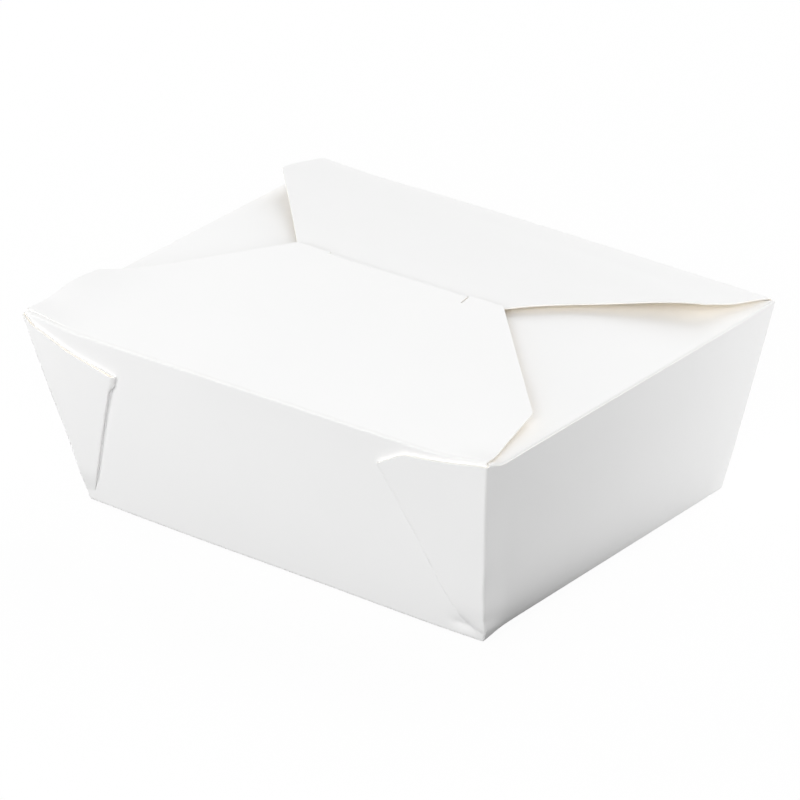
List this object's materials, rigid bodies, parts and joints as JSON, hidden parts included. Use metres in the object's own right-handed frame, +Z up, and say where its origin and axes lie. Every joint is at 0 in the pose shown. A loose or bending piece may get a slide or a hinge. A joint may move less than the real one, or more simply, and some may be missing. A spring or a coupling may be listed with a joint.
{
  "type": "folded paperboard take-out carton",
  "caption": "Closed white paperboard food carton with flared walls, pinched corner gussets, end flaps and a tongue-and-slit lid; the front flap lifts on its fold.",
  "frame": {"origin": "middle of the bounding box in plan, on the plane the base stands on", "axes": "+X along the long walls, -Y out of the front wall, +Z up"},
  "size_m": [0.1758, 0.1424, 0.0737],
  "materials": {
    "board": "matt"
  },
  "bodies": {
    "carton": {"carton": "board"},
    "front_flap": {"front_flap": "board"}
  },
  "joints": [
    {"name": "front_fold", "type": "hinge", "parent": "carton", "child": "front_flap", "pos_m": [0, -0.07002, 0.062], "axis": [1, 0, 0], "range_deg": [0, 150]}
  ]
}
